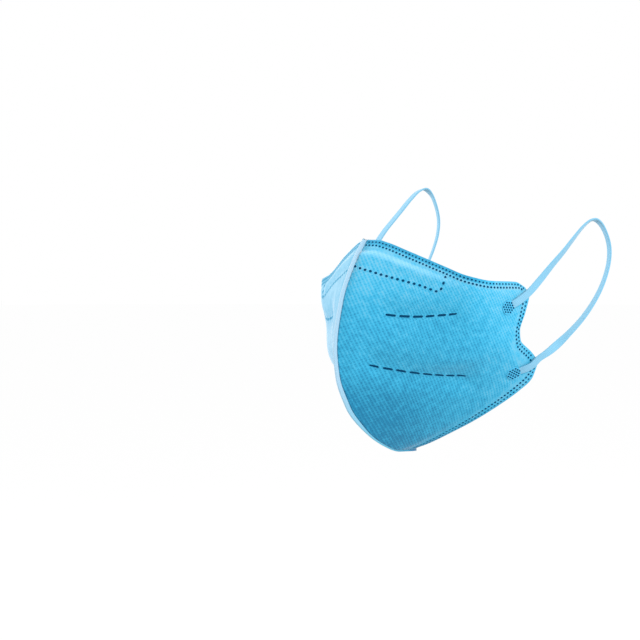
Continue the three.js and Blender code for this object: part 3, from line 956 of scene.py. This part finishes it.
# The bands' knit
RIB_PITCH = 0.75
STITCH_PITCH = 0.9
STITCH_SLANT = 0.6
STITCH_SHARE = 0.4
KNIT_RELIEF = 0.00008  # metres

# Where the cloth's look changes: from and to, across it, down it or in from its border
PATTERN_IN = (3.6, 5.6)
EDGE_IN = (1.2, 3.4)
EDGE_ACROSS = (12, 50)
EDGE_DOWN = (34, 60)
# Painted light over the nose and by the ear, painted shade at the chin
NOSE_PAINTED_LIGHT_DOWN = (12, 48)
CHIN_PAINTED_SHADE_DOWN = (62, 92)
CHIN_PAINTED_SHADE_ACROSS = (-22, 22)
EAR_PAINTED_LIGHT_ACROSS = (18, 52)
# The painted highlight along the nose clip
HIGHLIGHT_STARTS_IN = (4.4, 5.6)
HIGHLIGHT_ENDS_IN = (6.4, 9.0)
HIGHLIGHT_ACROSS = (-10, 28)
HIGHLIGHT_DOWN = (30, 45)
FUZZ_DOWN = (60, 88)

# By how much it changes there, as a share of the way from dark to light
DENT_TONE = -0.36
MOTTLE_TONE = 0.7
FINE_TONE = 0.4
EDGE_TONE = -0.5
EDGE_FAR = 0.4  # of it, away from the nose
# Painted light over the nose and by the ear, painted shade at the chin
NOSE_PAINTED_LIGHT = 0.26
CHIN_PAINTED_SHADE = -0.31
EAR_PAINTED_LIGHT = 0.17
HIGHLIGHT_SHARE = 0.27
FUZZ_LOW_SHARE = 0.35


class Graph:
    """A material's nodes, with short calls for the sums the cloth is made of."""

    def __init__(self, name, roughness, specular, sheen=0.0):
        self.material = bpy.data.materials.new(name)
        self.material.use_nodes = True
        self.nodes = self.material.node_tree.nodes
        self.links = self.material.node_tree.links
        self.shader = self.nodes["Principled BSDF"]
        self.set("Roughness", roughness)
        self.set("Specular IOR Level", specular)
        self.set("Sheen Weight", sheen)

    def put(self, socket, value):
        if hasattr(value, "is_linked"):
            self.links.new(value, socket)
        else:
            socket.default_value = value

    def set(self, name, value):
        """One of the shader's own inputs, to a value or another node's output."""
        self.put(self.shader.inputs[name], value)

    def math(self, operation, a, b=0.0, c=0.0):
        node = self.nodes.new("ShaderNodeMath")
        node.operation = operation
        for socket, value in zip(node.inputs, (a, b, c)):
            self.put(socket, value)
        return node.outputs[0]

    def mix(self, factor, a, b):
        node = self.nodes.new("ShaderNodeMix")
        node.data_type = "RGBA"
        self.put(node.inputs["Factor"], factor)
        self.put(node.inputs["A"], a)
        self.put(node.inputs["B"], b)
        return node.outputs["Result"]

    def blend(self, value, span, at_low, at_high):
        """From one number to another, smoothly, while value goes through the span."""
        node = self.nodes.new("ShaderNodeMapRange")
        node.interpolation_type = "SMOOTHSTEP"
        names = ("From Min", "From Max", "To Min", "To Max")
        for name, number in zip(names, (*span, at_low, at_high)):
            node.inputs[name].default_value = number
        self.links.new(value, node.inputs["Value"])
        return node.outputs[0]

    def ramp(self, value, stops):
        """A colour for each value, from positions and colours."""
        node = self.nodes.new("ShaderNodeValToRGB")
        elements = node.color_ramp.elements
        first, *between, last = stops
        elements[0].position, elements[0].color = first
        elements[1].position, elements[1].color = last
        for at, colour in between:
            elements.new(at).color = colour
        self.links.new(value, node.inputs["Fac"])
        return node.outputs["Color"]

    def cloth(self):
        """The cloth's measures, whole and as three numbers."""
        node = self.nodes.new("ShaderNodeAttribute")
        node.attribute_name = "cloth"
        split = self.nodes.new("ShaderNodeSeparateXYZ")
        self.links.new(node.outputs["Vector"], split.inputs[0])
        return node.outputs["Vector"], split.outputs[0], split.outputs[1], split.outputs[2]

    def noise(self, vector, scale, detail=2.0):
        node = self.nodes.new("ShaderNodeTexNoise")
        self.links.new(vector, node.inputs["Vector"])
        node.inputs["Scale"].default_value = scale
        node.inputs["Detail"].default_value = detail
        return node.outputs[0]

    def wave(self, value, period):
        """Up to 1 and down to 0 once every period."""
        turn = self.math("MULTIPLY", value, 2 * math.pi / period)
        return self.math("MULTIPLY_ADD", self.math("COSINE", turn), 0.5, 0.5)

    def bump(self, height, distance, strength):
        node = self.nodes.new("ShaderNodeBump")
        node.inputs["Strength"].default_value = strength
        node.inputs["Distance"].default_value = distance
        self.links.new(height, node.inputs["Height"])
        self.set("Normal", node.outputs[0])


def emboss(g, vector, u, v, inset):
    """How deep the embossed pattern is dented, 0 to 1, and 0 on the border."""
    across = g.math("SUBTRACT", g.math("MULTIPLY", u, math.cos(LINE_TILT)),
                    g.math("MULTIPLY", v, math.sin(LINE_TILT)))
    along = g.math("ADD", g.math("MULTIPLY", u, math.sin(LINE_TILT)),
                   g.math("MULTIPLY", v, math.cos(LINE_TILT)))
    wobble = g.noise(vector, WOBBLE_SCALE, 1)
    line = g.wave(g.math("MULTIPLY_ADD", wobble, WOBBLE_ACROSS, across), LINE_PITCH)
    bead = g.wave(g.math("MULTIPLY_ADD", wobble, WOBBLE_ALONG, along), BEAD_PITCH)
    bead = g.math("MULTIPLY_ADD", bead, BEAD_SHARE, 1 - BEAD_SHARE)
    return g.math("MULTIPLY", g.math("MULTIPLY", line, bead), g.blend(inset, PATTERN_IN, 0, 1))


def shading(g, tone, u, v, inset, contrast):
    """Painted light over the nose and by the ear, painted shade at the chin, and darker at the edge.
    """
    # Painted light over the nose and by the ear, painted shade at the chin
    tone = g.math("ADD", tone, g.blend(v, NOSE_PAINTED_LIGHT_DOWN, NOSE_PAINTED_LIGHT, 0))
    chin = g.math("MULTIPLY", g.blend(v, CHIN_PAINTED_SHADE_DOWN, 0, 1), g.blend(u, CHIN_PAINTED_SHADE_ACROSS, 1, 0))
    tone = g.math("MULTIPLY_ADD", chin, CHIN_PAINTED_SHADE, tone)
    tone = g.math("ADD", tone, g.blend(u, EAR_PAINTED_LIGHT_ACROSS, 0, EAR_PAINTED_LIGHT))
    edge = g.blend(inset, EDGE_IN, EDGE_TONE * contrast, 0)
    near = g.math("MULTIPLY", g.blend(u, EDGE_ACROSS, 1, EDGE_FAR), g.blend(v, EDGE_DOWN, 1, EDGE_FAR))
    return g.math("MULTIPLY_ADD", edge, near, tone)


def clip_painted_highlight(g, u, v, inset):
    """Painted highlight where the clip lifts the cloth under the upper border, 0 to 1."""
    rise, fall = g.blend(inset, HIGHLIGHT_STARTS_IN, 0, 1), g.blend(inset, HIGHLIGHT_ENDS_IN, 1, 0)
    across, down = g.blend(u, HIGHLIGHT_ACROSS, 1, 0), g.blend(v, HIGHLIGHT_DOWN, 1, 0)
    return g.math("MULTIPLY", g.math("MULTIPLY", rise, fall), g.math("MULTIPLY", across, down))


def fabric_material(name, colours, sheen, contrast):
    """Embossed nonwoven: dark, middle and light colour, and how strong its fuzz and relief are."""
    g = Graph(name, roughness=0.85, specular=0.2)
    vector, u, v, inset = g.cloth()
    dent = emboss(g, vector, u, v, inset)
    mottle = g.noise(vector, MOTTLE_SCALE, 3)
    fine = g.noise(vector, FINE_SCALE, 2)
    tone = g.math("MULTIPLY_ADD", dent, DENT_TONE * contrast, 0.5)
    tone = g.math("ADD", tone, g.math("MULTIPLY_ADD", mottle, MOTTLE_TONE, -MOTTLE_TONE / 2))
    # Adds the painted light and shade: paler over the nose and ear, darker at the chin
    tone = shading(g, tone, u, v, inset, contrast)
    tone = g.math("ADD", tone, g.math("MULTIPLY_ADD", fine, FINE_TONE, -FINE_TONE / 2))
    colour = g.ramp(tone, list(zip((0.0, 0.5, 1.0), colours)))
    # The painted highlight along the clip, mixed into the colour
    pale = g.math("MULTIPLY", clip_painted_highlight(g, u, v, inset), HIGHLIGHT_SHARE * contrast)
    g.set("Base Color", g.mix(pale, colour, CLOTH_PAINTED_HIGHLIGHT))
    height = g.math("ADD", g.math("MULTIPLY", dent, -1.0), g.math("MULTIPLY", fine, FINE_RELIEF))
    g.bump(height, CLOTH_RELIEF, 0.5 * contrast)
    g.set("Sheen Weight", g.blend(v, FUZZ_DOWN, sheen, sheen * FUZZ_LOW_SHARE))
    g.set("Sheen Roughness", CLOTH_FUZZ_ROUGHNESS)
    return g.material


def lining_material():
    """Plain white nonwoven."""
    g = Graph("nonwoven_white", roughness=0.9, specular=0.3, sheen=0.2)
    g.set("Base Color", LINING)
    vector, *_ = g.cloth()
    g.bump(g.noise(vector, 1.5), 0.0001, 0.5)
    return g.material


def weld_material(name, colour, sheen, fuzz):
    """Cloth melted together, dull and dark, under the fuzz of the cloth round it."""
    g = Graph(name, roughness=0.9, specular=0.05, sheen=sheen)
    g.set("Base Color", colour)
    g.set("Sheen Tint", fuzz)
    return g.material


def spot_material():
    """The raised cloth between a spot's dots."""
    g = Graph("spot_blue", roughness=0.85, specular=0.2, sheen=0.3)
    g.set("Base Color", SPOT)
    g.set("Sheen Roughness", CLOTH_FUZZ_ROUGHNESS)
    return g.material


def flange_material():
    """Pressed edges of both panels, pale with painted light at the nose, blue with painted shade under
    the chin.
    """
    g = Graph("flange_pressed", roughness=0.7, specular=0.3, sheen=0.3)
    *_, level = g.cloth()
    g.set("Base Color", g.ramp(level, FLANGE_PAINTED_LIGHT_COLOURS))
    return g.material


def band_material():
    """Knitted elastic with ribs along it and slanting stitches."""
    g = Graph("elastic", roughness=0.8, specular=0.5, sheen=0.2)
    _, run, width, _ = g.cloth()
    rib = g.wave(width, RIB_PITCH)
    stitch = g.wave(g.math("ADD", run, g.math("MULTIPLY", width, STITCH_SLANT)), STITCH_PITCH)
    height = g.math("MULTIPLY_ADD", stitch, STITCH_SHARE, rib)
    tone = g.math("MULTIPLY_ADD", height, 0.5, 0.2)
    g.set("Base Color", g.mix(tone, BAND_DARK, BAND_LIGHT))
    g.bump(height, KNIT_RELIEF, 0.5)
    return g.material


lining = lining_material()
weld_near = weld_material("weld_dark", WELD_NEAR, sheen=0.14, fuzz=FUZZ_NEAR)
coats = {
    "left": (fabric_material("nonwoven_blue", CLOTH_NEAR, sheen=0.6, contrast=1.0), weld_near),
    # The right side's copies are painted light: washed out, with weaker contrast and more fuzz.
    "right": (
        fabric_material("nonwoven_blue_far", CLOTH_PAINTED_LIGHT_COPY, sheen=0.66, contrast=0.4),
        weld_material("weld_far", WELD_PAINTED_LIGHT_COPY, sheen=0.9, fuzz=FUZZ_PAINTED_LIGHT_COPY),
    ),
}
for side, obj in panels.items():
    obj.data.materials.append(coats[side][0])
    obj.data.materials.append(lining)
elastic = band_material()
for obj, _ in loops.values():
    obj.data.materials.append(elastic)
for obj in weld_marks:
    for coat in coats[obj.name.split("_")[0]]:
        obj.data.materials.append(coat)
for obj in spot_dots:
    obj.data.materials.append(weld_near)
spot_blue = spot_material()
for obj in spots:
    obj.data.materials.append(spot_blue)
seam.data.materials.append(flange_material())

# Floor and light, in metres
FLOOR = -0.8
FLOOR_SIDES = 32
FLOOR_RINGS = [(0.0, 0), (0.8, 0), (3.0, 1), (12.0, 1), (30.0, 1)]  # radius, how pale
FLOOR_NEAR = (0.68, 0.68, 0.68, 1)
FLOOR_FAR = (0.99, 0.99, 0.99, 1)
SOFTBOX_DISTANCE = 1.6
SOFTBOX_SIZE = 0.9
# Name, direction from the mask, watts
SOFTBOXES = [
    ("left", (-0.8, -0.62, 0.35), 36),
    ("right", (1.0, 0.0, 0.5), 32),
    ("front", (0.8, -0.6, 0.15), 8),
]


def stage_floor():
    """A pale floor, light grey under the mask and white further out."""
    points, shade = [], []
    for radius, pale in FLOOR_RINGS:
        points += [(radius * cos, radius * sin, FLOOR) for cos, sin in circle(FLOOR_SIDES)]
        shade += [(pale, pale, pale)] * FLOOR_SIDES
    faces = [(a, d, c, b) for a, b, c, d in ring_faces(len(FLOOR_RINGS), FLOOR_SIDES)]
    data = bpy.data.meshes.new("floor")
    data.from_pydata(points, [], faces)
    floor = bpy.data.objects.new("floor", data)
    scene.collection.objects.link(floor)
    set_attribute(floor, "pale", shade)
    g = Graph("floor_pale", roughness=1.0, specular=0.0)
    attribute = g.nodes.new("ShaderNodeAttribute")
    attribute.attribute_name = "pale"
    g.set("Base Color", g.mix(attribute.outputs["Fac"], FLOOR_NEAR, FLOOR_FAR))
    data.materials.append(g.material)


def softbox(name, direction, power):
    """A square light that looks at the mask from that direction."""
    light = bpy.data.lights.new(name, "AREA")
    light.shape = "SQUARE"
    light.size = SOFTBOX_SIZE
    light.energy = power
    obj = bpy.data.objects.new(name, light)
    way = Vector(direction).normalized()
    obj.location = way * SOFTBOX_DISTANCE
    obj.rotation_mode = "QUATERNION"
    obj.rotation_quaternion = way.to_track_quat("Z", "Y")
    scene.collection.objects.link(obj)


def studio():
    """White all round, shown without a film look."""
    world = bpy.data.worlds.new("studio")
    scene.world = world
    world.use_nodes = True
    background = world.node_tree.nodes["Background"].inputs
    background["Color"].default_value = (1, 1, 1, 1)
    background["Strength"].default_value = 1.0
    scene.view_settings.view_transform = "Standard"
    scene.view_settings.look = "None"


stage_floor()
for name, direction, power in SOFTBOXES:
    softbox(name, direction, power)
studio()
